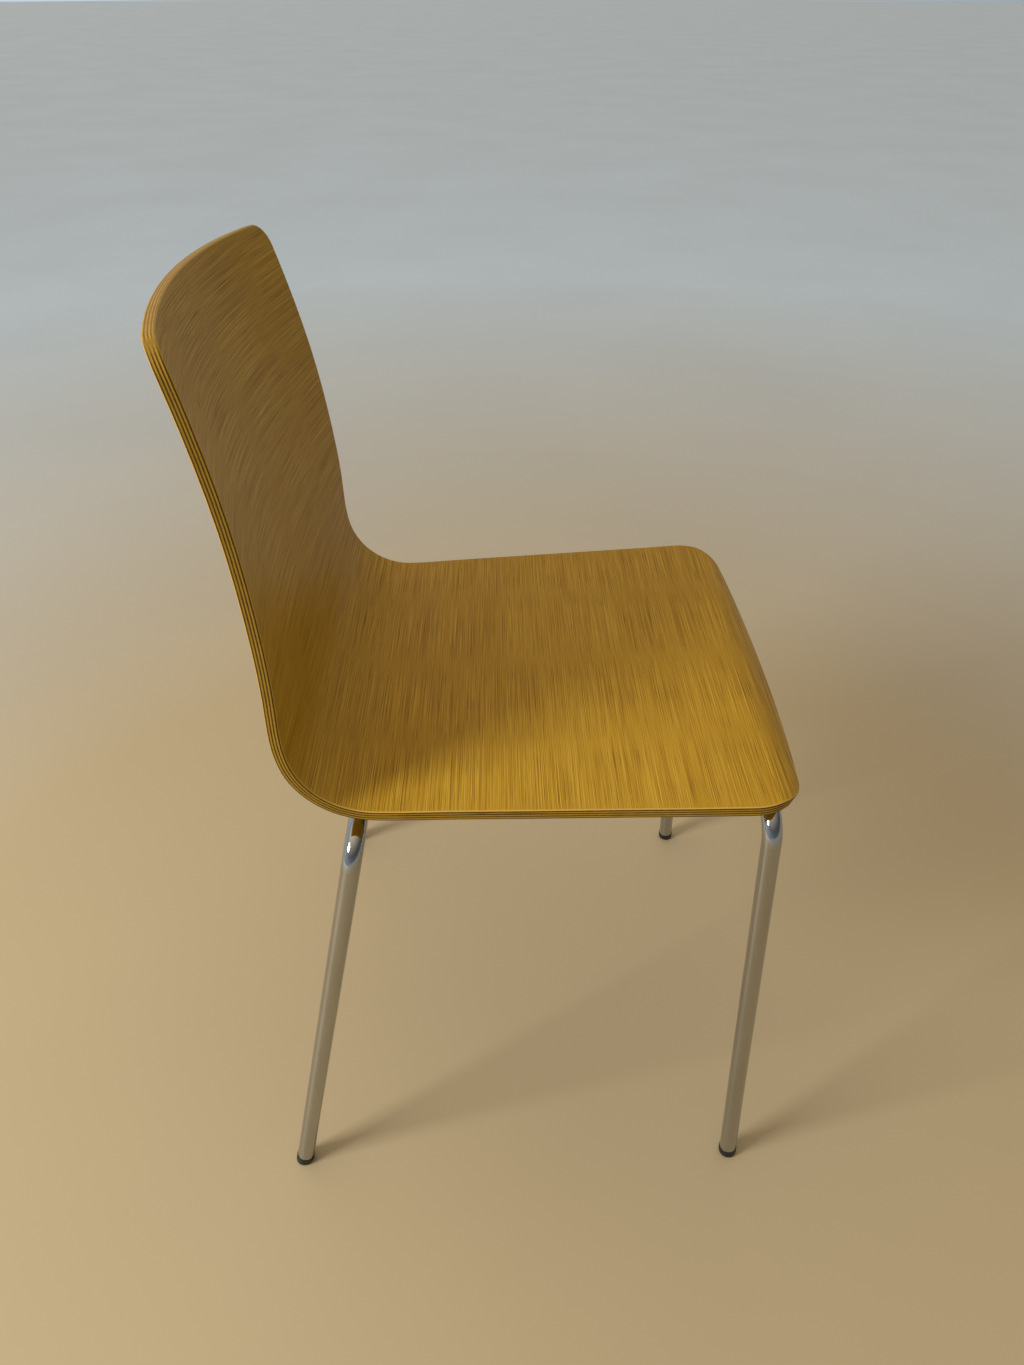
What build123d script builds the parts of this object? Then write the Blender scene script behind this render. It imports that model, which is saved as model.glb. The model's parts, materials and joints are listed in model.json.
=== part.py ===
from build123d import *
import os
from math import cos, pi, radians, sin, tan

# Stacking chair: a pressed plywood shell, seat and back in one piece, on a chromed tube frame.
# Millimetres. X runs across the chair, -Y is the front, +Z is up. The floor is z = 0 and
# y = 0 is half way between the seat's front edge and the top of the back.

# --- Driving dimensions of the shell, measured on the face that is sat on ---
SHELL_THICKNESS = 9.0
VENEER_THICKNESS = 0.6
CORE_PLIES = 7

SEAT_SLOPE = radians(2.4)             # the seat falls towards the back
SEAT_REAR_Y = 104.2                   # a point on the flat part, near its rear end
SEAT_REAR_Z = 438.3
FRONT_EDGE_Y = -239.2
FRONT_EDGE_BOW = 13.5                 # how far the edge's ends lie behind its middle
SEAT_FRONT_HALF_WIDTH = 212.3
SEAT_REAR_HALF_WIDTH = 198.0
SEAT_CORNER_RADIUS = 42.0
ROLL_START_Y = -202.5                 # where the seat starts to roll down at the front
ROLL_RADIUS = 45.0
LIP_ANGLE = radians(60.0)             # how steep the roll gets, past the front edge

BACK_RECLINE = radians(12.8)
BACK_LOW_Y = 162.2                    # a point on the back's middle line, just above the bend
BACK_LOW_Z = 490.2
BEND_RADIUS = 62.7
BACK_TOP_Z = 791.0
BACK_TOP_BOW = 3.3                    # how far the top's ends lie below its middle
BACK_TOP_HALF_WIDTH = 169.5
BACK_CORNER_RADIUS = 23.0
BACK_TAPER_Z = 516.2                  # the back narrows from here upwards
TAPER_BLEND_RADIUS = 300.0
SEAT_BLEND_RADIUS = 800.0
BACK_CURVE_RADIUS = 586.0             # across the back where it is most hollow to the front
HOLLOW_Z = 738.7                      # the height where it is most hollow
CURVE_START_Z = 496.8                 # below this the shell is straight from side to side

# --- Driving dimensions of the frame ---
TUBE_RADIUS = 8.0
TUBE_WALL = 1.5
LEG_BEND_RADIUS = 22.0
FRONT_FOOT_X = 223.5                  # half the feet's spread, to their middles
REAR_FOOT_X = 225.0
LEG_SPLAY = radians(3.0)              # outwards, towards the floor
FRONT_FOOT_Y = -218.4
FRONT_LEG_LEAN = radians(1.6)         # the foot stands forward of the leg's top
REAR_FOOT_Y = 202.7
REAR_LEG_LEAN = radians(-11.5)        # the foot stands behind the leg's top
FRONT_BAR_Z = 427.0                   # middles of the crossbars that join each pair of legs
REAR_BAR_Z = 407.0
RAIL_X = 130.0

# --- Driving dimensions of the fittings ---
PLATE_THICKNESS = 3.0
PLATE_LENGTH = 40.0
PLATE_CORNER_RADIUS = 5.0
SEATING_GAP = 0.05                    # a paper-thin clearance above each pad
SCREW_INSET = 16.0                    # from a rail's middle to its screws
PLATE_MARGIN = 9.0                    # from a screw's middle to its plate's inner end
SCREW_RADIUS = 2.95
SCREW_LENGTHS = (16.0, 20.0)          # front pair, rear pair
SCREW_HEAD_RADIUS = 5.25
SCREW_HEAD_HEIGHT = 3.3
SCREW_HEAD_ROUNDING = 2.3
HEX_KEY_SIZE = 4.0
HEX_KEY_DEPTH = 2.0
WASHER_RADIUS = 6.0
WASHER_THICKNESS = 1.2
CLEARANCE_HOLE_RADIUS = 3.3
NUT_BORE_RADIUS = 3.0
NUT_BARREL_RADIUS = 3.9
NUT_FLANGE_RADIUS = 9.0
NUT_FLANGE_PLAY = 0.1                 # between the flange and the plies above and below it
SCREW_STATIONS = (-255.0, -45.0)      # along the seat's underside, from SEAT_REAR_Y
BUMPER_SHARES = (0.32, 0.68)          # of the way along a rail, from the front
BUMPER_LENGTH = 26.0
BUMPER_WALL = 2.5
BUMPER_GRIP = radians(30.0)           # how far the clip's lips reach above the rail's middle
BUMPER_SOLE_DEPTH = 12.5
BUMPER_SOLE_HALF_WIDTH = 7.0
FOOT_RADIUS = 8.5
FOOT_HEIGHT = 8.0
FOOT_ROUNDING = 2.0
PLUG_LENGTH = 24.0
PLUG_PLAY = 0.7
PLUG_RIB_PLAY = 0.05
PLUG_RIBS = 4
PLUG_RIB_THICKNESS = 1.5

# --- Resolution of the pressed surface ---
STEPS_PER_ARC = 9
STEPS_PER_STRAIGHT = 7
COLUMNS = 7
BLANK_HALF_WIDTH = 235.0
BLANK_OVERRUN = 60.0
SURFACE_TOLERANCE = 0.05
CUTTER_REACH = 700.0
OVERCUT = 1.0                         # how far a hole's cutter runs past the face it opens

PLY_THICKNESS = (SHELL_THICKNESS - 2 * VENEER_THICKNESS) / CORE_PLIES
LAYERS = (
    ["face_veneer"] + [f"core_ply_{number + 1}" for number in range(CORE_PLIES)] + ["back_veneer"]
)
SIDES = {"left": -1, "right": 1}

# Directions in the chair's middle plane.
SEAT_REARWARD = Vector(0, cos(SEAT_SLOPE), -sin(SEAT_SLOPE))
SEAT_NORMAL = Vector(0, sin(SEAT_SLOPE), cos(SEAT_SLOPE))
BACK_UPWARD = Vector(0, sin(BACK_RECLINE), cos(BACK_RECLINE))
SEAT_REAR = Vector(0, SEAT_REAR_Y, SEAT_REAR_Z)
BACK_LOW = Vector(0, BACK_LOW_Y, BACK_LOW_Z)

# The flat part of the underside. Local X is across, local Y rearward, local Z up into the seat.
UNDERSIDE = Plane(origin=SEAT_REAR - SEAT_NORMAL * SHELL_THICKNESS, x_dir=(1, 0, 0), z_dir=SEAT_NORMAL)

# The two pairs of legs, front then rear: where they stand, how they lean and where they cross.
PAIRS = {
    "front": (FRONT_FOOT_X, FRONT_FOOT_Y, FRONT_LEG_LEAN, FRONT_BAR_Z),
    "rear": (REAR_FOOT_X, REAR_FOOT_Y, REAR_LEG_LEAN, REAR_BAR_Z),
}


def middle_profile():
    """The shell's face on the chair's middle plane: lip, roll, seat, bend and back."""
    between = BACK_LOW - SEAT_REAR
    cross = SEAT_REARWARD.Y * BACK_UPWARD.Z - SEAT_REARWARD.Z * BACK_UPWARD.Y
    to_bend = (between.Y * BACK_UPWARD.Z - between.Z * BACK_UPWARD.Y) / cross
    bend_corner = SEAT_REAR + SEAT_REARWARD * to_bend
    roll_start = SEAT_REAR + SEAT_REARWARD * ((ROLL_START_Y - SEAT_REAR_Y) / SEAT_REARWARD.Y)
    roll_corner = roll_start - SEAT_REARWARD * (ROLL_RADIUS * tan((LIP_ANGLE + SEAT_SLOPE) / 2))
    lip_end = roll_corner + Vector(0, -cos(LIP_ANGLE), -sin(LIP_ANGLE)) * BLANK_OVERRUN
    back_length = (BACK_TOP_Z + BLANK_OVERRUN - bend_corner.Z) / BACK_UPWARD.Z
    back_end = bend_corner + BACK_UPWARD * back_length
    return FilletPolyline(lip_end, roll_corner, bend_corner, back_end, radius=[ROLL_RADIUS, BEND_RADIUS])


def side_rise(height, across):
    """How far the face stands forward of its middle line, at this height and this far across."""
    share = max((height - CURVE_START_Z) / (HOLLOW_Z - CURVE_START_Z), 0)
    return sin(pi / 2 * share) * across**2 / (2 * BACK_CURVE_RADIUS)


def pressed_face():
    """The whole pressed face, before it is cut to its outline."""
    profile = middle_profile()
    stations = []
    done = 0.0
    for edge in profile.edges():
        steps = STEPS_PER_ARC if edge.geom_type == GeomType.CIRCLE else STEPS_PER_STRAIGHT
        stations += [(done + edge.length * step / steps) / profile.length for step in range(steps)]
        done += edge.length
    stations.append(1.0)
    rows = []
    for station in stations:
        middle = profile.position_at(station)
        along = profile.tangent_at(station)
        normal = Vector(0, -along.Z, along.Y)
        row = []
        for column in range(COLUMNS):
            across = BLANK_HALF_WIDTH * (2 * column / (COLUMNS - 1) - 1)
            row.append(middle + normal * side_rise(middle.Z, across) + Vector(across, 0, 0))
        rows.append(row)
    return Face.make_surface_from_array_of_points(rows, tol=SURFACE_TOLERANCE, min_deg=3, max_deg=3)


def near(vertices, axis, value):
    """The vertices that lie at this value along an axis."""
    return vertices.filter_by_position(axis, value - 1, value + 1)


def seat_outline():
    """The seat's outline from above. It runs on behind the back, whose outline takes over there."""
    ends_y = FRONT_EDGE_Y + FRONT_EDGE_BOW
    front_left = (-SEAT_FRONT_HALF_WIDTH, ends_y)
    front_right = (SEAT_FRONT_HALF_WIDTH, ends_y)
    front = ThreePointArc(front_left, (0, FRONT_EDGE_Y), front_right)
    sides = Polyline(
        front_right,
        (SEAT_REAR_HALF_WIDTH, SEAT_REAR_Y),
        (SEAT_REAR_HALF_WIDTH, CUTTER_REACH),
        (-SEAT_REAR_HALF_WIDTH, CUTTER_REACH),
        (-SEAT_REAR_HALF_WIDTH, SEAT_REAR_Y),
        front_left,
    )
    outline = make_face(front + sides)
    outline = fillet(near(outline.vertices(), Axis.Y, ends_y), SEAT_CORNER_RADIUS)
    return fillet(near(outline.vertices(), Axis.Y, SEAT_REAR_Y), SEAT_BLEND_RADIUS)


def back_outline():
    """The back's outline from the front. Below the bend it is wider than the seat."""
    ends_z = BACK_TOP_Z - BACK_TOP_BOW
    right_side = [
        (BLANK_HALF_WIDTH, 0),
        (BLANK_HALF_WIDTH, CURVE_START_Z - BEND_RADIUS / 2),
        (SEAT_REAR_HALF_WIDTH, CURVE_START_Z - BEND_RADIUS / 2),
        (SEAT_REAR_HALF_WIDTH, BACK_TAPER_Z),
        (BACK_TOP_HALF_WIDTH, ends_z),
    ]
    left_side = [(-across, height) for across, height in reversed(right_side)]
    top = ThreePointArc(right_side[-1], (0, BACK_TOP_Z), left_side[0])
    outline = make_face(Plane.XZ * (top + Polyline(*left_side, *right_side)))
    outline = fillet(near(outline.vertices(), Axis.Z, ends_z), BACK_CORNER_RADIUS)
    return fillet(near(outline.vertices(), Axis.Z, BACK_TAPER_Z), TAPER_BLEND_RADIUS)


def cut_face():
    """The pressed face, cut to the outlines of the seat and the back."""
    seat_cutter = extrude(seat_outline(), CUTTER_REACH * 2, dir=(0, 0, 1))
    back_cutter = extrude(back_outline(), CUTTER_REACH, both=True)
    return (pressed_face() & seat_cutter & back_cutter).faces()[0]


def far_side(layer, face):
    """The side of a layer that lies opposite the face it was thickened from."""
    broad = layer.faces().sort_by(SortBy.AREA)[-2:]
    return max(broad, key=lambda side: (side.center() - face.center()).length)


def on_underside(across, along, height):
    """A place in the underside's own directions."""
    return UNDERSIDE * Pos(across, along, height)


def rod(radius, low, high):
    """A solid cylinder on the local Z axis."""
    return Pos(0, 0, low) * Cylinder(radius, high - low, align=(Align.CENTER, Align.CENTER, Align.MIN))


def at_screws(shape, stations=SCREW_STATIONS):
    """A copy of a shape at each screw, left and right."""
    across = RAIL_X - SCREW_INSET
    return [on_underside(side * across, along, 0) * shape for side in SIDES.values() for along in stations]


def layer_tops():
    """The height of each layer's upper side above the underside of the seat."""
    thicknesses = [VENEER_THICKNESS] + [PLY_THICKNESS] * CORE_PLIES
    return [SHELL_THICKNESS - sum(thicknesses[:number]) for number in range(len(LAYERS))]


def shell_layers():
    """Face veneer, core plies and back veneer, each with its holes for the tee nuts."""
    tops = layer_tops()
    flange_layer = LAYERS.index("core_ply_2")
    flange_hole = at_screws(rod(NUT_FLANGE_RADIUS, tops[flange_layer + 1] - OVERCUT, tops[flange_layer]))
    barrel_hole = at_screws(rod(NUT_BARREL_RADIUS, -OVERCUT, tops[flange_layer + 1]))
    face = cut_face()
    layers = {}
    for number, name in enumerate(LAYERS):
        thickness = PLY_THICKNESS if name.startswith("core") else VENEER_THICKNESS
        layer = Solid.thicken(face, thickness)
        face = far_side(layer, face)
        if number == flange_layer:
            layer = layer - flange_hole
        if number > flange_layer:
            layer = layer - barrel_hole
        layers[name] = layer
    return layers


def tee_nut():
    """A nut whose flange lies under the first core ply and whose barrel opens downwards."""
    tops = layer_tops()
    flange_layer = LAYERS.index("core_ply_2")
    flange_top = tops[flange_layer] - NUT_FLANGE_PLAY
    flange_low = tops[flange_layer + 1] + NUT_FLANGE_PLAY
    body = rod(NUT_FLANGE_RADIUS, flange_low, flange_top) + rod(NUT_BARREL_RADIUS, 0, flange_top)
    return body - rod(NUT_BORE_RADIUS, -OVERCUT, SHELL_THICKNESS)


def bar_middle(pair):
    """The middle of a crossbar, where the leaning legs reach its height."""
    foot_y, lean, bar_z = PAIRS[pair][1:]
    return Vector(0, foot_y + bar_z * tan(lean), bar_z)


def rail_top(along):
    """The height of the rails' upper side against the underside's plane. It falls to the rear."""
    front, rear = [UNDERSIDE.to_local_coords(bar_middle(pair)) for pair in PAIRS]
    fall = (rear.Z - front.Z) / (rear.Y - front.Y)
    return front.Z + fall * (along - front.Y) + TUBE_RADIUS


def plate_low(along):
    """The height of a mounting plate's lower side. It clears the rail's slope at both its ends."""
    return max(rail_top(along - PLATE_LENGTH / 2), rail_top(along + PLATE_LENGTH / 2))


def screw(along, length):
    """A button-head screw with a hexagon socket, pointing up."""
    head_top = plate_low(along) - WASHER_THICKNESS
    head_low = head_top - SCREW_HEAD_HEIGHT
    head = rod(SCREW_HEAD_RADIUS, head_low, head_top)
    head = fillet(head.edges().sort_by(Axis.Z)[0], SCREW_HEAD_ROUNDING)
    socket = extrude(RegularPolygon(HEX_KEY_SIZE / 2, 6, major_radius=False), HEX_KEY_DEPTH)
    shank = rod(SCREW_RADIUS, head_top, head_top + length)
    return head + shank - Pos(0, 0, head_low) * socket


def washer(along):
    """A flat washer under a mounting plate."""
    top = plate_low(along)
    low = top - WASHER_THICKNESS
    return rod(WASHER_RADIUS, low, top) - rod(CLEARANCE_HOLE_RADIUS, low - OVERCUT, top + OVERCUT)


def tab(side, along, low, high):
    """A flat tab from a rail's outer side inwards past its screw, with the screw's hole."""
    outer = RAIL_X + TUBE_RADIUS
    inner = RAIL_X - SCREW_INSET - PLATE_MARGIN
    outline = RectangleRounded(outer - inner, PLATE_LENGTH, PLATE_CORNER_RADIUS)
    blank = on_underside(side * (outer + inner) / 2, along, low) * extrude(outline, high - low)
    hole = rod(CLEARANCE_HOLE_RADIUS, low - OVERCUT, high + OVERCUT)
    return blank - on_underside(side * (RAIL_X - SCREW_INSET), along, 0) * hole


def leg_path(pair):
    """Middle line of a leg tube: up one leg, across under the seat and down the other."""
    foot_x, foot_y = PAIRS[pair][:2]
    bar = bar_middle(pair)
    bar_x = foot_x - bar.Z * tan(LEG_SPLAY)
    corners = [(-foot_x, foot_y, 0), (-bar_x, bar.Y, bar.Z), (bar_x, bar.Y, bar.Z), (foot_x, foot_y, 0)]
    return FilletPolyline(*corners, radius=LEG_BEND_RADIUS)


def leg_tube(path):
    """A pair of legs, bent from one tube. Its ends stop where the feet begin."""
    section = Circle(TUBE_RADIUS) - Circle(TUBE_RADIUS - TUBE_WALL)
    tube = sweep(path.location_at(0) * section, path=path)
    for end in (0, 1):
        tube -= foot_place(path, end) * rod(TUBE_RADIUS * 2, -FOOT_HEIGHT * 2, FOOT_HEIGHT)
    return tube


def foot_place(path, end):
    """A foot's own place: on the floor under its leg, with local Z up the leg."""
    upward = path.tangent_at(end) * (1 if end == 0 else -1)
    return Plane(origin=path.position_at(end), x_dir=(1, 0, 0), z_dir=upward)


def foot(place):
    """A plastic glide: a cap cut flat on the floor and a ribbed plug inside the tube."""
    bore = TUBE_RADIUS - TUBE_WALL
    cap = place * rod(FOOT_RADIUS, -FOOT_HEIGHT, FOOT_HEIGHT)
    cap = cap.solid().split(Plane.XY, keep=Keep.TOP)
    cap = fillet(cap.edges().sort_by(Axis.Z)[0], FOOT_ROUNDING)
    plug = rod(bore - PLUG_PLAY, FOOT_HEIGHT, FOOT_HEIGHT + PLUG_LENGTH)
    for number in range(PLUG_RIBS):
        low = FOOT_HEIGHT + PLUG_LENGTH * (number + 1) / (PLUG_RIBS + 1)
        plug += rod(bore - PLUG_RIB_PLAY, low, low + PLUG_RIB_THICKNESS)
    return cap + place * plug


def side_rail(side):
    """A straight tube between the crossbars, its ends shaped to fit round them."""
    front, rear = [bar_middle(pair) for pair in PAIRS]
    place = Plane(origin=front + Vector(side * RAIL_X, 0, 0), x_dir=(1, 0, 0), z_dir=rear - front)
    length = (rear - front).length
    bore = rod(TUBE_RADIUS - TUBE_WALL, -OVERCUT, length + OVERCUT)
    rail = place * (rod(TUBE_RADIUS, 0, length) - bore)
    for bar in (front, rear):
        rail -= Pos(side * RAIL_X, bar.Y, bar.Z) * Rot(0, 90, 0) * Cylinder(TUBE_RADIUS, 4 * TUBE_RADIUS)
    return rail


def bumper(side, share):
    """A plastic clip round the lower part of a rail, with a flat sole for the chair below."""
    front, rear = [bar_middle(pair) for pair in PAIRS]
    middle = front + (rear - front) * share + Vector(side * RAIL_X, 0, 0)
    outer = TUBE_RADIUS + BUMPER_WALL
    lip_height = TUBE_RADIUS * sin(BUMPER_GRIP)
    sole = Pos(0, -BUMPER_SOLE_DEPTH / 2) * Rectangle(2 * BUMPER_SOLE_HALF_WIDTH, BUMPER_SOLE_DEPTH)
    opening = Pos(0, lip_height + outer) * Rectangle(3 * outer, 2 * outer)
    section = Circle(outer) + sole - Circle(TUBE_RADIUS) - opening
    place = Plane(origin=middle, x_dir=(1, 0, 0), z_dir=front - rear)
    return place * extrude(section, BUMPER_LENGTH / 2, both=True)


def build_nodes():
    """Every sub-part of the chair, by name."""
    nodes = shell_layers()
    for pair in PAIRS:
        path = leg_path(pair)
        nodes[f"{pair}_leg_tube"] = leg_tube(path)
        for end, side in enumerate(SIDES):
            nodes[f"{pair}_{side}_foot"] = foot(foot_place(path, end))
    for name, side in SIDES.items():
        nodes[f"{name}_side_rail"] = side_rail(side)
        for pair, along, share in zip(PAIRS, SCREW_STATIONS, BUMPER_SHARES):
            low = plate_low(along)
            high = low + PLATE_THICKNESS
            nodes[f"{pair}_{name}_mounting_plate"] = tab(side, along, low, high)
            nodes[f"{pair}_{name}_shell_pad"] = tab(side, along, high, -SEATING_GAP)
            nodes[f"{pair}_{name}_stacking_bumper"] = bumper(side, share)
    washers = []
    for pair, along, length in zip(PAIRS, SCREW_STATIONS, SCREW_LENGTHS):
        nodes[f"{pair}_mounting_screws"] = Compound(children=at_screws(screw(along, length), [along]))
        washers += at_screws(washer(along), [along])
    nodes["screw_washers"] = Compound(children=washers)
    nodes["tee_nuts"] = Compound(children=at_screws(tee_nut()))
    return nodes


os.makedirs("parts", exist_ok=True)
for node, shape in build_nodes().items():
    export_step(shape, f"parts/{node}.step")
    print(node, round(shape.volume))
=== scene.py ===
"""Looks of the stacking chair: oak veneer over pale and dark plies, chromed tube and black feet.

Metres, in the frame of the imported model: X across the chair, -Y to the front, +Z up, floor at z = 0.
"""

import json
from math import cos, pi, radians, sin, sqrt, tan

import bmesh
import bpy
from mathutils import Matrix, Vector
from mathutils.kdtree import KDTree


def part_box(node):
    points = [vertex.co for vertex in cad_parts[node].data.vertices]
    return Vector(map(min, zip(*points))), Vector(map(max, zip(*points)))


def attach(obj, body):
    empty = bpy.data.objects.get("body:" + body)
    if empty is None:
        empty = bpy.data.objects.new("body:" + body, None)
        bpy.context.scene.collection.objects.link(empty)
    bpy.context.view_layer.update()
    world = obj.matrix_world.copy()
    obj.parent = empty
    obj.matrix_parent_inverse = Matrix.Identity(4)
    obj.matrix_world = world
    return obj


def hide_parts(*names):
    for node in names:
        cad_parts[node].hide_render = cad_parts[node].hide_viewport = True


# --- The shell's make-up, in metres ---
VENEER = 0.0006
SHELL = 0.009
CORE_PLIES = 7
PLY = (SHELL - 2 * VENEER) / CORE_PLIES
EDGE_ROUNDING = 0.0015                # radius of the sanded edges, at the face and at the back
EDGE_CUTS = 3                         # extra rows of points across a layer's edge
EASING_WIDTH = 0.007                  # the strip of a face that gives way as its edge is rounded
SHARP_ANGLE = radians(50)
SAME_PLACE = 1e-6
CUT_EDGE = (0.64, 0.39, 0.075)        # colour of the veneer where it is sanded through at an edge
FACE_SIDE = Vector((0, -1, 1))        # the side that is sat on: up on the seat, forward on the back

# --- How the sheet is bent, which the grain follows ---
SEAT_SLOPE = radians(2.4)
SEAT_LEVEL = 0.4427                   # the height of the seat's plane at Y = 0
BACK_RECLINE = radians(12.8)
BACK_START = -0.314                   # makes places on the back follow on from those on the seat
TURN_START = 0.008                    # above the seat's plane, where the seat's places begin to give way
TURN_END = 0.065                      # above the seat's plane, where the back's places have taken over

# --- Welds ---
SEAM_RADIUS = 0.0017
SEAM_SINK = 0.55                      # how deep a seam's middle lies under the surfaces it joins
SEAM_ROUNDNESS = 3                    # how finely a seam is rounded
SEAM_TIP = 0.55                       # a seam's thickness at its very ends
TIP_SHARE = 1 / 8                     # how much of a seam's length each end takes to reach full thickness
RIPPLE_LENGTH = 0.0016
RIPPLE_DEPTH = 0.10
POINTS_PER_RIPPLE = 4
SADDLE_SWEEP = 0.94 * pi              # how far round a rail its end seams reach, on each side
PLATE_SEAM_MARGIN = 3 * SEAM_RADIUS   # from a plate's ends to its seams' ends
PLATE_SEAM_SHARE = 0.6                # how far a plate's seams lie off the rail's middle, in tube radii

# --- Camera: a hand-held view from the chair's -X side, looking down ---
CAMERA_PLACE = (-0.7704, 0.0054, 0.9680)
CAMERA_PITCH = radians(35.5)
CAMERA_HEADING = radians(-0.88)       # away from straight across the chair
CAMERA_LENS = 26.59

# --- Stage ---
FLOOR_RADIUS = 40.0
FLOOR_SEGMENTS = 96
FLOOR_NEAR = (0.53, 0.42, 0.25)
FLOOR_FAR = (0.70, 0.84, 0.98)
CHANGE_START = 0.7                    # how far from the chair the floor begins to change
CHANGE_END = 3.2                      # how far from the chair its change is done
WINDOW_PLACE = (-1.1, 2.1, 1.75)
WINDOW_TARGET = (0, 0, 0.5)
WINDOW_SIZE = 0.8
WINDOW_POWER = 50
WINDOW_COLOUR = (0.97, 1.0, 1.0)
AIR_BY_HEIGHT = [(0.0, (0.38, 0.44, 0.50)), (0.35, (0.25, 0.26, 0.28)), (1.0, (0.90, 0.77, 0.58))]
AIR_BY_SIDE = [(0.0, 0.25), (1.0, 1.0)]                # from before the chair to behind it
AIR_BY_DEPTH = [(0.0, 0.45), (0.5, 0.85), (1.0, 1.0)]  # from the camera's side of the chair to the far one
AIR_STRENGTH = 1.9

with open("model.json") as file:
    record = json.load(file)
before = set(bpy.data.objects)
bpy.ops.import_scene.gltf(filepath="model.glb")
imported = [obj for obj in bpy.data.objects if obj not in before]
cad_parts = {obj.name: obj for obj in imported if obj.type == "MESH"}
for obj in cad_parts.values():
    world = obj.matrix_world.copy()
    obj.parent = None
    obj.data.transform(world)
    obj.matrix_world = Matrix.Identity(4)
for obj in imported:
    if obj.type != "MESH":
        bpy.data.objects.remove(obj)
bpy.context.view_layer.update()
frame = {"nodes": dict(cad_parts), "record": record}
nodes = frame["nodes"]


# --- Materials ---
MIX_INPUTS = (0, 6, 7)                # a mix node's factor and its two colours, among its sockets
MIX_OUTPUT = 2                        # its mixed colour


def new_material(name, **values):
    """A material and its node tree. Values are the shader's sockets, with _ for a space."""
    material = bpy.data.materials.new(name)
    material.use_nodes = True
    shader = material.node_tree.nodes["Principled BSDF"]
    for socket, value in values.items():
        shader.inputs[socket.replace("_", " ")].default_value = value
    return material, material.node_tree, shader


def add(tree, kind, inputs=None, **settings):
    """A new node. An input is a value, or another node's output to link from."""
    made = tree.nodes.new(kind)
    for name, value in settings.items():
        setattr(made, name, value)
    for socket, value in (inputs or {}).items():
        if isinstance(value, bpy.types.NodeSocket):
            tree.links.new(value, made.inputs[socket])
        else:
            made.inputs[socket].default_value = value
    return made


def noise(tree, scale, detail=2.0, roughness=0.5, shift=0.0, place=None):
    """Noise between 0 and 1. Scale is features in a metre along X, Y and Z."""
    place = place or add(tree, "ShaderNodeTexCoord").outputs["Object"]
    mapped = add(tree, "ShaderNodeMapping", {"Vector": place, "Scale": scale, "Location": (shift,) * 3})
    inputs = {"Vector": mapped.outputs["Vector"], "Scale": 1.0, "Detail": detail, "Roughness": roughness}
    return add(tree, "ShaderNodeTexNoise", inputs).outputs["Fac"]


def ramp(tree, factor, stops):
    """Colours, or greys, along a factor. Stops are pairs of place and colour or grey."""
    made = add(tree, "ShaderNodeValToRGB", {"Fac": factor})
    elements = made.color_ramp.elements
    while len(elements) < len(stops):
        elements.new(0.5)
    for element, (place, colour) in zip(elements, stops):
        element.position = place
        element.color = (*colour, 1) if isinstance(colour, tuple) else (colour, colour, colour, 1)
    return made.outputs["Color"]


def math(tree, operation, *values):
    """One sum on numbers or sockets."""
    made = add(tree, "ShaderNodeMath", dict(enumerate(values)), operation=operation)
    return made.outputs["Value"]


def blend(tree, factor, first, second, mode="MIX"):
    """Two colours, mixed. Each is a value or a socket, as the factor is."""
    made = tree.nodes.new("ShaderNodeMix")
    made.data_type = "RGBA"
    made.blend_type = mode
    for number, value in zip(MIX_INPUTS, (factor, first, second)):
        if isinstance(value, bpy.types.NodeSocket):
            tree.links.new(value, made.inputs[number])
        else:
            made.inputs[number].default_value = (*value, 1) if isinstance(value, tuple) else value
    return made.outputs[MIX_OUTPUT]


def darker(colour, share):
    """A colour taken down to a share of itself."""
    return tuple(share * part for part in colour)


def bump(tree, shader, height, distance, strength):
    """Small relief on a surface."""
    inputs = {"Height": height, "Distance": distance, "Strength": strength}
    tree.links.new(add(tree, "ShaderNodeBump", inputs).outputs["Normal"], shader.inputs["Normal"])


def along_sheet(tree):
    """The place on the bent sheet: across it, and along it from the seat's front to the back's top."""
    place = add(tree, "ShaderNodeTexCoord").outputs["Object"]
    parts = add(tree, "ShaderNodeSeparateXYZ", {"Vector": place}).outputs
    height = math(tree, "MULTIPLY_ADD", parts["Y"], tan(SEAT_SLOPE), parts["Z"])
    inputs = {"Value": height, "From Min": SEAT_LEVEL + TURN_START, "From Max": SEAT_LEVEL + TURN_END}
    turn = add(tree, "ShaderNodeMapRange", inputs, interpolation_type="SMOOTHSTEP").outputs["Result"]
    rise = math(tree, "MULTIPLY_ADD", parts["Z"], cos(BACK_RECLINE), BACK_START)
    up_back = math(tree, "MULTIPLY_ADD", parts["Y"], sin(BACK_RECLINE), rise)
    along = math(tree, "MULTIPLY_ADD", turn, math(tree, "SUBTRACT", up_back, parts["Y"]), parts["Y"])
    return add(tree, "ShaderNodeCombineXYZ", {"X": parts["X"], "Y": along}).outputs["Vector"]


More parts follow.
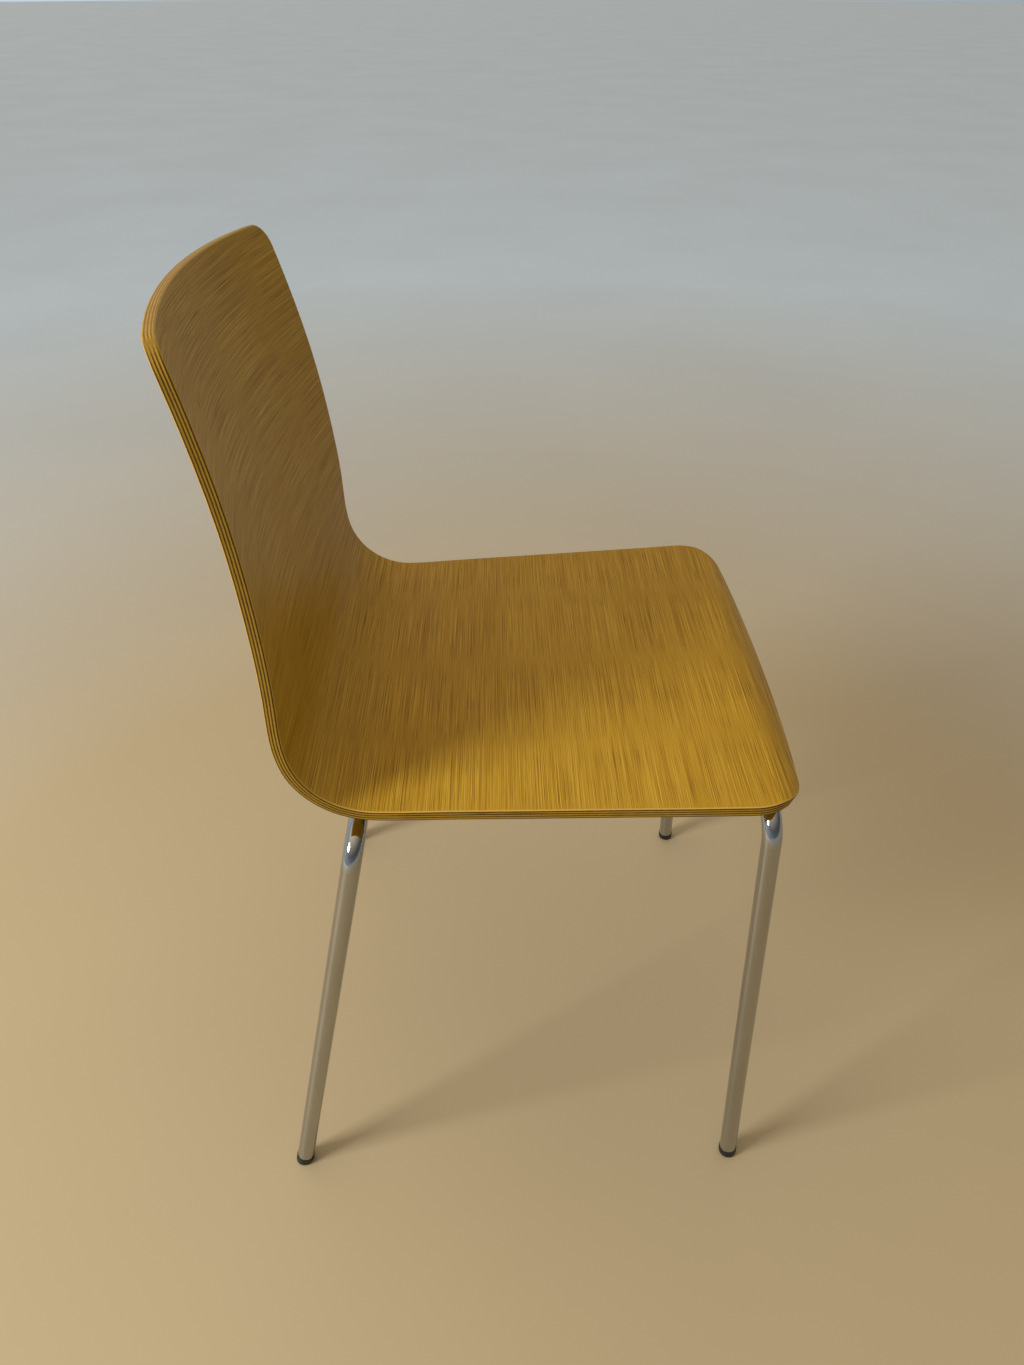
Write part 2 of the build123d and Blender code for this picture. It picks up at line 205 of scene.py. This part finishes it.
def oak_veneer():
    """Quarter-cut oak under satin lacquer, plain where it is cut. The grain runs across the chair."""
    material, tree, shader = new_material(
        "oak_veneer", Coat_Weight=0.05, Coat_Roughness=0.35, Specular_IOR_Level=0.13
    )
    place = along_sheet(tree)
    clouds = noise(tree, (2.5, 9, 9), detail=3, place=place)
    bands = noise(tree, (3, 60, 60), detail=2, shift=3, place=place)
    rings = noise(tree, (4, 900, 900), detail=1, shift=7, place=place)
    streaks = noise(tree, (9, 2300, 2300), detail=1, shift=11, place=place)
    tone = math(tree, "ADD", math(tree, "MULTIPLY", rings, 0.14), math(tree, "MULTIPLY", streaks, 0.86))
    tone = math(tree, "ADD", math(tree, "MULTIPLY", tone, 0.93), math(tree, "MULTIPLY", bands, 0.07))
    colour = ramp(tree, tone, [
        (0.33, (0.310, 0.146, 0.007)),
        (0.45, (0.480, 0.260, 0.015)),
        (0.54, (0.570, 0.325, 0.024)),
        (0.67, (0.710, 0.440, 0.048)),
    ])
    flecks = noise(tree, (24, 2100, 2100), detail=1, shift=17, place=place)
    pores = ramp(tree, flecks, [(0.33, 0.0), (0.43, 1.0)])
    colour = blend(tree, 0.38, colour, pores, "MULTIPLY")
    shade = ramp(tree, clouds, [(0.30, (0.92, 0.90, 0.86)), (0.70, (1.0, 1.0, 1.0))])
    colour = blend(tree, 1.0, colour, shade, "MULTIPLY")
    sunk = add(tree, "ShaderNodeAttribute", attribute_name="sunk").outputs["Fac"]
    cut = ramp(tree, sunk, [(0.0, 0.0), (0.20, 1.0)])
    colour = blend(tree, cut, colour, CUT_EDGE)
    tree.links.new(colour, shader.inputs["Base Color"])
    tree.links.new(ramp(tree, streaks, [(0.3, 0.50), (0.7, 0.40)]), shader.inputs["Roughness"])
    bump(tree, shader, pores, 0.00005, 0.5)
    return material


def ply(name, end_grain_at_sides, pale, dark):
    """A core ply's edge. It shows end grain on two sides of the shell and long grain on the others."""
    material, tree, shader = new_material(
        name, Coat_Weight=0.03, Coat_Roughness=0.3, Specular_IOR_Level=0.14
    )
    normal = add(tree, "ShaderNodeTexCoord").outputs["Normal"]
    across = math(tree, "ABSOLUTE", add(tree, "ShaderNodeSeparateXYZ", {"Vector": normal}).outputs["X"])
    turn = ramp(tree, across, [(0.35, 0.0), (0.80, 1.0)])
    fibres = noise(tree, (300, 34, 34), detail=3, roughness=0.6, shift=5)
    dots = noise(tree, (1500, 420, 420), detail=2, roughness=0.7, shift=9)
    long_grain = ramp(tree, fibres, [(0.30, darker(pale, 0.78)), (0.62, pale)])
    end_grain = ramp(tree, dots, [(0.32, darker(dark, 0.55)), (0.62, dark)])
    at_sides, elsewhere = (end_grain, long_grain) if end_grain_at_sides else (long_grain, end_grain)
    tree.links.new(blend(tree, turn, elsewhere, at_sides), shader.inputs["Base Color"])
    tree.links.new(ramp(tree, dots, [(0.3, 0.55), (0.7, 0.42)]), shader.inputs["Roughness"])
    bump(tree, shader, dots, 0.00008, 0.4)
    return material


def chrome(name, grey):
    """Bright plated steel, with the faint unevenness and wipe marks that plating has."""
    material, tree, shader = new_material(name, Metallic=1.0)
    marks = noise(tree, (55, 55, 9), detail=4, roughness=0.65, shift=2)
    tint = ramp(tree, marks, [(0.35, darker(grey, 0.93)), (0.60, grey)])
    tree.links.new(tint, shader.inputs["Base Color"])
    tree.links.new(ramp(tree, marks, [(0.40, 0.035), (0.72, 0.13)]), shader.inputs["Roughness"])
    bump(tree, shader, noise(tree, (160, 160, 60), detail=1, shift=4), 0.00003, 0.35)
    return material


def plastic(name, colour, roughness):
    """Moulded plastic with a fine spark-eroded grain and scuffs."""
    material, tree, shader = new_material(name, Specular_IOR_Level=0.45)
    scuffs = noise(tree, (90, 90, 260), detail=5, roughness=0.7, shift=6)
    worn = tuple(part * 1.8 + 0.012 for part in colour)
    tree.links.new(ramp(tree, scuffs, [(0.50, colour), (0.78, worn)]), shader.inputs["Base Color"])
    rough = [(0.35, roughness), (0.70, roughness + 0.2)]
    tree.links.new(ramp(tree, scuffs, rough), shader.inputs["Roughness"])
    bump(tree, shader, noise(tree, (2600, 2600, 2600), detail=1), 0.00006, 0.5)
    return material


def zinc_steel():
    """Bright zinc plate: a fine crystalline mottle with a slight colour."""
    material, tree, shader = new_material("zinc_steel", Metallic=1.0)
    mottle = noise(tree, (700, 700, 700), detail=3, roughness=0.6)
    tint = [(0.35, (0.42, 0.43, 0.44)), (0.52, (0.60, 0.60, 0.58)), (0.70, (0.68, 0.65, 0.56))]
    tree.links.new(ramp(tree, mottle, tint), shader.inputs["Base Color"])
    tree.links.new(ramp(tree, mottle, [(0.3, 0.22), (0.7, 0.38)]), shader.inputs["Roughness"])
    return material


materials = {
    "oak_veneer": oak_veneer(),
    "dark_ply": ply("dark_ply", True, (0.48, 0.275, 0.032), (0.160, 0.070, 0.004)),
    "light_ply": ply("light_ply", False, (0.52, 0.300, 0.034), (0.290, 0.143, 0.013)),
    "chromed_tube": chrome("chromed_tube", (0.45, 0.45, 0.44)),
    "chromed_plate": chrome("chromed_plate", (0.45, 0.45, 0.445)),
    "black_plastic": plastic("black_plastic", (0.012, 0.012, 0.013), 0.38),
    "grey_plastic": plastic("grey_plastic", (0.085, 0.085, 0.09), 0.5),
    "zinc_steel": zinc_steel(),
}
slots = {part["node"]: part["material_slot"] for part in frame["record"]["subparts"]}


def paint(piece, slot):
    """Gives a piece one material."""
    piece.data.materials.clear()
    piece.data.materials.append(materials[slot])


for name, piece in nodes.items():
    paint(piece, slots[name])


# --- The shell's outer layers, with their sanded edges ---
def inset(depth):
    """How far a sanded edge lies inside a square one, at a depth under the shell's surface."""
    lean = max(0, 1 - depth / EDGE_ROUNDING)
    return EDGE_ROUNDING * (1 - sqrt(1 - lean**2))


def smooth_groups(mesh):
    """The mesh's faces in groups that are parted by sharp edges, the widest group first."""
    seen = set()
    groups = []
    for first in mesh.faces:
        if first in seen:
            continue
        seen.add(first)
        group = [first]
        for face in group:
            for other in {other for edge in face.edges for other in edge.link_faces} - seen:
                if face.normal.dot(other.normal) > cos(SHARP_ANGLE):
                    seen.add(other)
                    group.append(other)
        groups.append(group)
    return sorted(groups, key=lambda group: -sum(face.calc_area() for face in group))


def corners(faces):
    """The points of some faces."""
    return {point for face in faces for point in face.verts}


def tree_of(places):
    """A tree that finds the places near a point."""
    tree = KDTree(len(places))
    for number, place in enumerate(places):
        tree.insert(place, number)
    tree.balance()
    return tree


def closest_normal(normals, direction):
    """The normal that points most nearly along a direction."""
    return max(normals, key=direction.dot)


def mean_normal(point, faces):
    """The mean direction of those faces that meet at a point."""
    return sum((face.normal for face in point.link_faces if face in faces), Vector()).normalized()


def ease(points, rim_points, sideways, amount):
    """Draws the points of a broad face that lie near its edge in with the edge."""
    edge = sorted(rim_points, key=lambda point: point.index)
    tree = tree_of([point.co for point in edge])
    moves = []
    for point in points:
        _, number, gap = tree.find(point.co)
        if gap < EASING_WIDTH:
            moves.append((point, edge[number][sideways] * amount * (1 - gap / EASING_WIDTH)))
    for point, move in moves:
        point.co -= move


def rounded_layer(node, outer_side, depth, thickness):
    """Replaces an outer layer of the shell with a copy whose edge is sanded round."""
    source = nodes[node]
    place = source.matrix_world
    exact_places = [place @ vertex.co for vertex in source.data.vertices]
    exact_normals = [None] * len(exact_places)
    for loop, normal in zip(source.data.loops, source.data.corner_normals):
        exact_normals[loop.vertex_index] = (place.to_3x3() @ normal.vector).normalized()
    exact_tree = tree_of(exact_places)

    mesh = bmesh.new()
    mesh.from_mesh(source.data)
    mesh.transform(place)
    origin = mesh.verts.layers.int.new("origin")
    sunk = mesh.verts.layers.float.new("sunk")
    facing = mesh.verts.layers.float_vector.new("facing")
    sideways = mesh.verts.layers.float_vector.new("sideways")
    bmesh.ops.remove_doubles(mesh, verts=mesh.verts, dist=SAME_PLACE)
    mesh.normal_update()
    mesh.verts.index_update()
    normals = []
    for number, point in enumerate(mesh.verts):
        point[origin] = number
        near = exact_tree.find_range(point.co, 2 * SAME_PLACE)
        normals.append([exact_normals[exact] for _, exact, _ in near])

    first, second, rim, *holes = smooth_groups(mesh)
    way = sum((face.normal * face.calc_area() for face in first), Vector()).dot(outer_side)
    outer, inner = (set(first), set(second)) if way > 0 else (set(second), set(first))
    rim = set(rim)
    kept = outer.union(inner, *holes)
    outer_rim = corners(rim) & corners(outer)
    inner_rim = corners(rim) & corners(inner)
    for rim_points, broad, sign, level in ((outer_rim, outer, 1, 0), (inner_rim, inner, -1, 1)):
        for point in rim_points:
            point[sunk] = level
            point[facing] = closest_normal(normals[point[origin]], mean_normal(point, broad)) * sign
            point[sideways] = closest_normal(normals[point[origin]], mean_normal(point, rim))
    ease(corners(outer) - outer_rim, outer_rim, sideways, inset(depth))
    ease(corners(inner) - inner_rim, inner_rim, sideways, inset(depth + thickness))

    edges = {edge for face in rim for edge in face.edges}
    crossing = [edge for edge in edges if edge.verts[0][sunk] != edge.verts[1][sunk]]
    crossing.sort(key=lambda edge: sorted(point.index for point in edge.verts))
    bmesh.ops.subdivide_edges(mesh, edges=crossing, cuts=EDGE_CUTS)
    rim = set(mesh.faces) - kept
    for point in corners(rim):
        point.co -= point[sideways] * inset(depth + point[sunk] * thickness)

    shading = []
    for face in mesh.faces:
        for point in face.verts:
            lean = max(0, 1 - (depth + point[sunk] * thickness) / EDGE_ROUNDING)
            if face in kept:
                shading.append(closest_normal(normals[point[origin]], face.normal))
            else:
                shading.append((point[facing] * lean + point[sideways] * sqrt(1 - lean**2)).normalized())

    data = bpy.data.meshes.new(f"{node}_eased")
    mesh.to_mesh(data)
    data.shade_smooth()
    data.normals_split_custom_set(shading)
    piece = bpy.data.objects.new(f"{node}_eased", data)
    bpy.context.collection.objects.link(piece)
    paint(piece, slots[node])
    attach(piece, "root")
    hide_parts(node)


for outer_side, veneer, outer_ply in (
    (FACE_SIDE, "face_veneer", "core_ply_1"),
    (-FACE_SIDE, "back_veneer", f"core_ply_{CORE_PLIES}"),
):
    rounded_layer(veneer, outer_side, 0, VENEER)
    rounded_layer(outer_ply, outer_side, VENEER, PLY)


# --- Welds between the tubes ---
rail_low, rail_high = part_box("left_side_rail")
tube_radius = (rail_high.x - rail_low.x) / 2
rail_x = (rail_high.x + rail_low.x) / 2
front_bar = Vector((0, rail_low.y, rail_high.z - tube_radius))
rear_bar = Vector((0, rail_high.y, rail_low.z + tube_radius))
rail_axis = (rear_bar - front_bar).normalized()


def seam(curve, places):
    """One welded seam, with the ripples of its pool, through places that are evenly spaced."""
    spline = curve.splines.new("POLY")
    spline.points.add(len(places) - 1)
    for number, (point, place) in enumerate(zip(spline.points, places)):
        point.co = (*place, 1)
        share = number / (len(places) - 1)
        swell = 1 + RIPPLE_DEPTH * sin(2 * pi * number / POINTS_PER_RIPPLE)
        fullness = min(1, share / TIP_SHARE, (1 - share) / TIP_SHARE)
        point.radius = swell * (SEAM_TIP + (1 - SEAM_TIP) * fullness)


def saddle(bar, into_rail, side, x):
    """The line where a rail meets a crossbar, on one side of the rail, from under it to over it."""
    up = Vector((-1, 0, 0)).cross(rail_axis)
    outward = Vector((side, 0, 0))
    middle = bar + Vector((x, 0, 0))
    count = round(pi * tube_radius / RIPPLE_LENGTH) * POINTS_PER_RIPPLE
    places = []
    for number in range(count + 1):
        angle = (number / count - 1 / 2) * SADDLE_SWEEP
        on_bar = into_rail * cos(angle) + up * sin(angle)
        on_rail = outward * cos(angle) + up * sin(angle)
        crossing = middle + (on_bar + outward * cos(angle)) * tube_radius
        places.append(crossing + (on_bar + on_rail) * (SEAM_RADIUS * (1 - SEAM_SINK)))
    return places


def plate_line(plate, x, offset):
    """The line where a mounting plate lies along a rail's upper side."""
    low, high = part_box(plate)
    reach = (high.y - low.y) / 2 - PLATE_SEAM_MARGIN
    middle = (low.y + high.y) / 2
    count = round(2 * reach / RIPPLE_LENGTH) * POINTS_PER_RIPPLE
    drop = sqrt(tube_radius**2 - offset**2)
    places = []
    for number in range(count + 1):
        y = middle + reach * (2 * number / count - 1)
        on_rail = front_bar + rail_axis * ((y - front_bar.y) / rail_axis.y)
        places.append(on_rail + Vector((x + offset, 0, drop + SEAM_RADIUS * SEAM_SINK)))
    return places


def weld(name, side):
    """All the seams of one rail: round both its ends and along both its plates."""
    curve = bpy.data.curves.new(name, "CURVE")
    curve.dimensions = "3D"
    curve.bevel_depth = SEAM_RADIUS
    curve.bevel_resolution = SEAM_ROUNDNESS
    curve.use_fill_caps = True
    x = side * abs(rail_x)
    for hand in (-1, 1):
        seam(curve, saddle(front_bar, rail_axis, hand, x))
        seam(curve, saddle(rear_bar, -rail_axis, hand, x))
        for end in ("front", "rear"):
            plate = f"{end}_{'left' if side < 0 else 'right'}_mounting_plate"
            seam(curve, plate_line(plate, x, hand * PLATE_SEAM_SHARE * tube_radius))
    piece = bpy.data.objects.new(name, curve)
    bpy.context.collection.objects.link(piece)
    paint(piece, "chromed_tube")
    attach(piece, "root")


weld("left_rail_welds", -1)
weld("right_rail_welds", 1)


# --- Floor, light and camera ---
def floor():
    """A plain pale floor, warm round the chair and cooler far away, with a satin polish."""
    mesh = bmesh.new()
    bmesh.ops.create_circle(mesh, cap_ends=True, segments=FLOOR_SEGMENTS, radius=FLOOR_RADIUS)
    data = bpy.data.meshes.new("floor")
    mesh.to_mesh(data)
    piece = bpy.data.objects.new("floor", data)
    bpy.context.collection.objects.link(piece)
    material, tree, shader = new_material("pale_floor", Specular_IOR_Level=0.35)
    place = add(tree, "ShaderNodeTexCoord").outputs["Object"]
    distance = add(tree, "ShaderNodeVectorMath", {0: place}, operation="LENGTH").outputs["Value"]
    inputs = {"Value": distance, "From Min": CHANGE_START, "From Max": CHANGE_END}
    change = add(tree, "ShaderNodeMapRange", inputs).outputs["Result"]
    wear = noise(tree, (1.6, 1.6, 1.6), detail=4)
    base = ramp(tree, change, [(0.0, FLOOR_NEAR), (1.0, FLOOR_FAR)])
    mottle = ramp(tree, wear, [(0.3, 0.95), (0.7, 1.0)])
    tree.links.new(blend(tree, 1.0, base, mottle, "MULTIPLY"), shader.inputs["Base Color"])
    tree.links.new(ramp(tree, wear, [(0.3, 0.50), (0.7, 0.44)]), shader.inputs["Roughness"])
    data.materials.append(material)


def soft_light(name, place, target, size, power, colour):
    """A square soft box that faces its target."""
    light = bpy.data.lights.new(name, "AREA")
    light.shape = "SQUARE"
    light.size = size
    light.energy = power
    light.color = colour
    lamp = bpy.data.objects.new(name, light)
    lamp.location = place
    lamp.rotation_euler = (Vector(target) - Vector(place)).to_track_quat("-Z", "Y").to_euler()
    bpy.context.collection.objects.link(lamp)


def studio_air():
    """Soft light from all round, palest at the horizon on the chair's far side."""
    world = bpy.data.worlds.new("studio_air")
    bpy.context.scene.world = world
    world.use_nodes = True
    tree = world.node_tree
    direction = add(tree, "ShaderNodeTexCoord").outputs["Generated"]
    parts = add(tree, "ShaderNodeSeparateXYZ", {"Vector": direction}).outputs
    sky = ramp(tree, parts["Z"], AIR_BY_HEIGHT)
    for axis, stops in (("Y", AIR_BY_SIDE), ("X", AIR_BY_DEPTH)):
        share = add(tree, "ShaderNodeMapRange", {"Value": parts[axis], "From Min": -1.0, "From Max": 1.0})
        sky = blend(tree, 1.0, sky, ramp(tree, share.outputs["Result"], stops), "MULTIPLY")
    tree.links.new(sky, tree.nodes["Background"].inputs["Color"])
    tree.nodes["Background"].inputs["Strength"].default_value = AIR_STRENGTH


def camera():
    """The camera, level from side to side."""
    eye = bpy.data.objects.new("camera", bpy.data.cameras.new("camera"))
    eye.data.lens = CAMERA_LENS
    eye.location = CAMERA_PLACE
    eye.rotation_euler = (pi / 2 - CAMERA_PITCH, 0, -pi / 2 + CAMERA_HEADING)
    bpy.context.collection.objects.link(eye)
    bpy.context.scene.camera = eye


floor()
studio_air()
soft_light("window", WINDOW_PLACE, WINDOW_TARGET, WINDOW_SIZE, WINDOW_POWER, WINDOW_COLOUR)
camera()
bpy.context.scene.view_settings.view_transform = "Standard"
